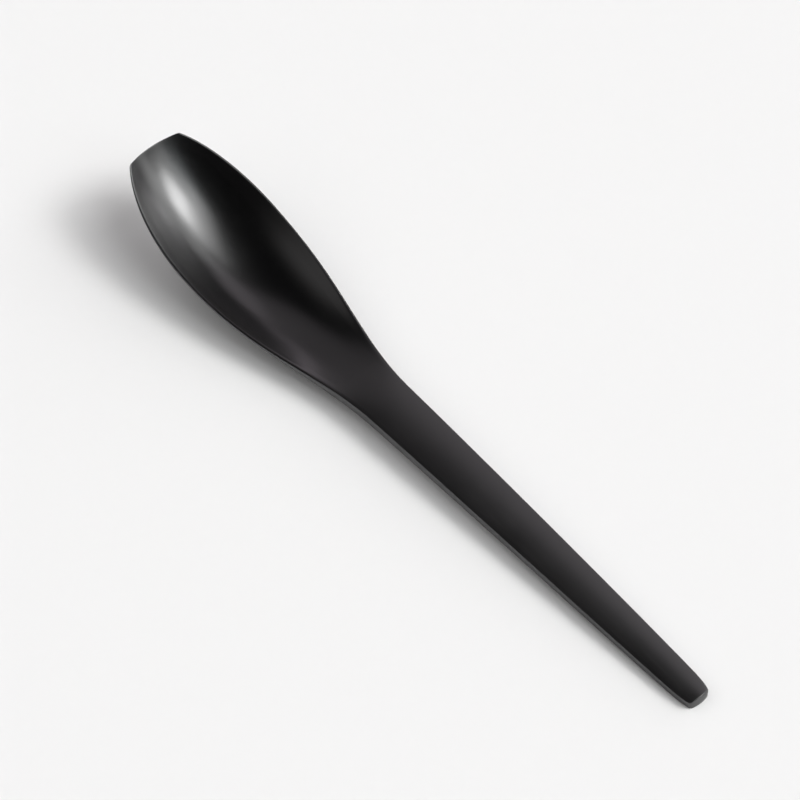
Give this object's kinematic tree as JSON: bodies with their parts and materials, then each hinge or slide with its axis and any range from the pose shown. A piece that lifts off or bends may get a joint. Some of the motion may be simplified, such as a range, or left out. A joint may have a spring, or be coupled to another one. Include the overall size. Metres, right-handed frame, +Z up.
{
  "type": "lacquered wooden spoon",
  "caption": "Slim black lacquered wooden table spoon with a long, cut-off bowl and a plain tapering handle.",
  "frame": {"origin": "on the surface that the spoon lies on, under the middle of its length and width", "axes": "+X along the spoon, from the handle's end to the bowl's tip; +Z up, out of the bowl"},
  "size_m": [0.2, 0.0314, 0.0227],
  "materials": {
    "carved_wood": "bare carved limewood, sealed in",
    "ground": "rubbed clay and oil ground, matte",
    "black_lacquer": "black lacquer rubbed to a soft satin",
    "clear_varnish": "clear semi-gloss varnish over black"
  },
  "bodies": {
    "root": {"wood_core": "carved_wood", "ground_coat": "ground", "black_lacquer": "black_lacquer", "bowl_varnish": "clear_varnish"}
  },
  "joints": []
}
